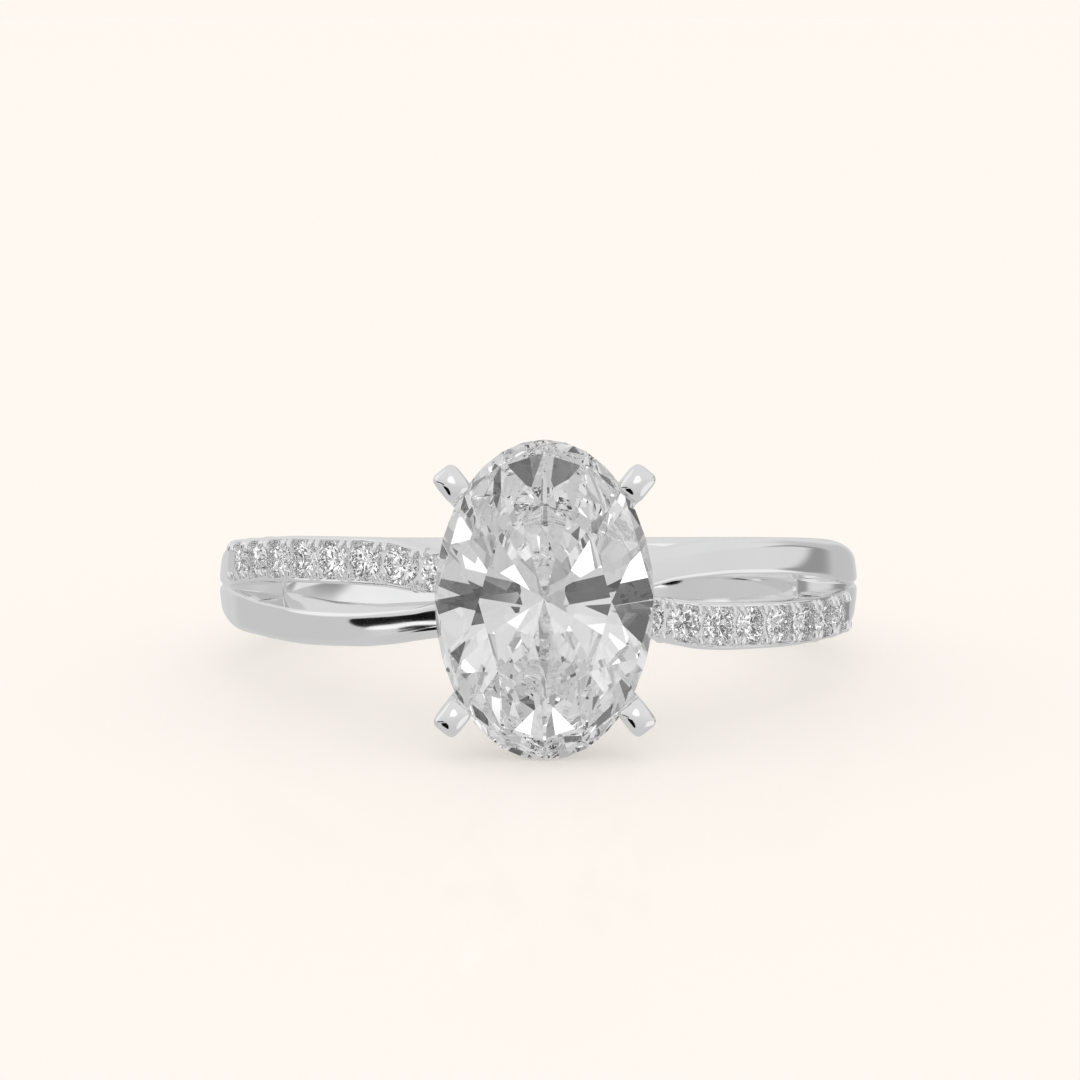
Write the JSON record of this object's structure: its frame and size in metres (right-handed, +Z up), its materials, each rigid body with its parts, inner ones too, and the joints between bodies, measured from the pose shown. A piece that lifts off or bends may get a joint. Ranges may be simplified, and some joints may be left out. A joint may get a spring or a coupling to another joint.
{
  "type": "split shank engagement ring",
  "caption": "Finger ring in polished white gold: an oval brilliant in four prongs, on a band split into a plain strand and a strand set with small stones.",
  "frame": {"origin": "centre of the bounding box's bottom, on the surface the ring lies on", "axes": "-Y towards the oval stone's face, +Y to the back of the band, +Z up with the ring lying on its side, X across the band"},
  "size_m": [0.02, 0.0238, 0.0088],
  "materials": {
    "white_gold": "mirror-polished white gold, lightly worn",
    "diamond": "clear, colourless, facet cut and polished"
  },
  "bodies": {
    "root": {"mounting": "white_gold", "center_stone": "diamond", "pave_left_1": "diamond", "pave_left_2": "diamond", "pave_left_3": "diamond", "pave_left_4": "diamond", "pave_left_5": "diamond", "pave_left_6": "diamond", "pave_left_7": "diamond", "pave_left_8": "diamond", "pave_right_1": "diamond", "pave_right_2": "diamond", "pave_right_3": "diamond", "pave_right_4": "diamond", "pave_right_5": "diamond", "pave_right_6": "diamond", "pave_right_7": "diamond", "pave_right_8": "diamond"}
  },
  "joints": []
}
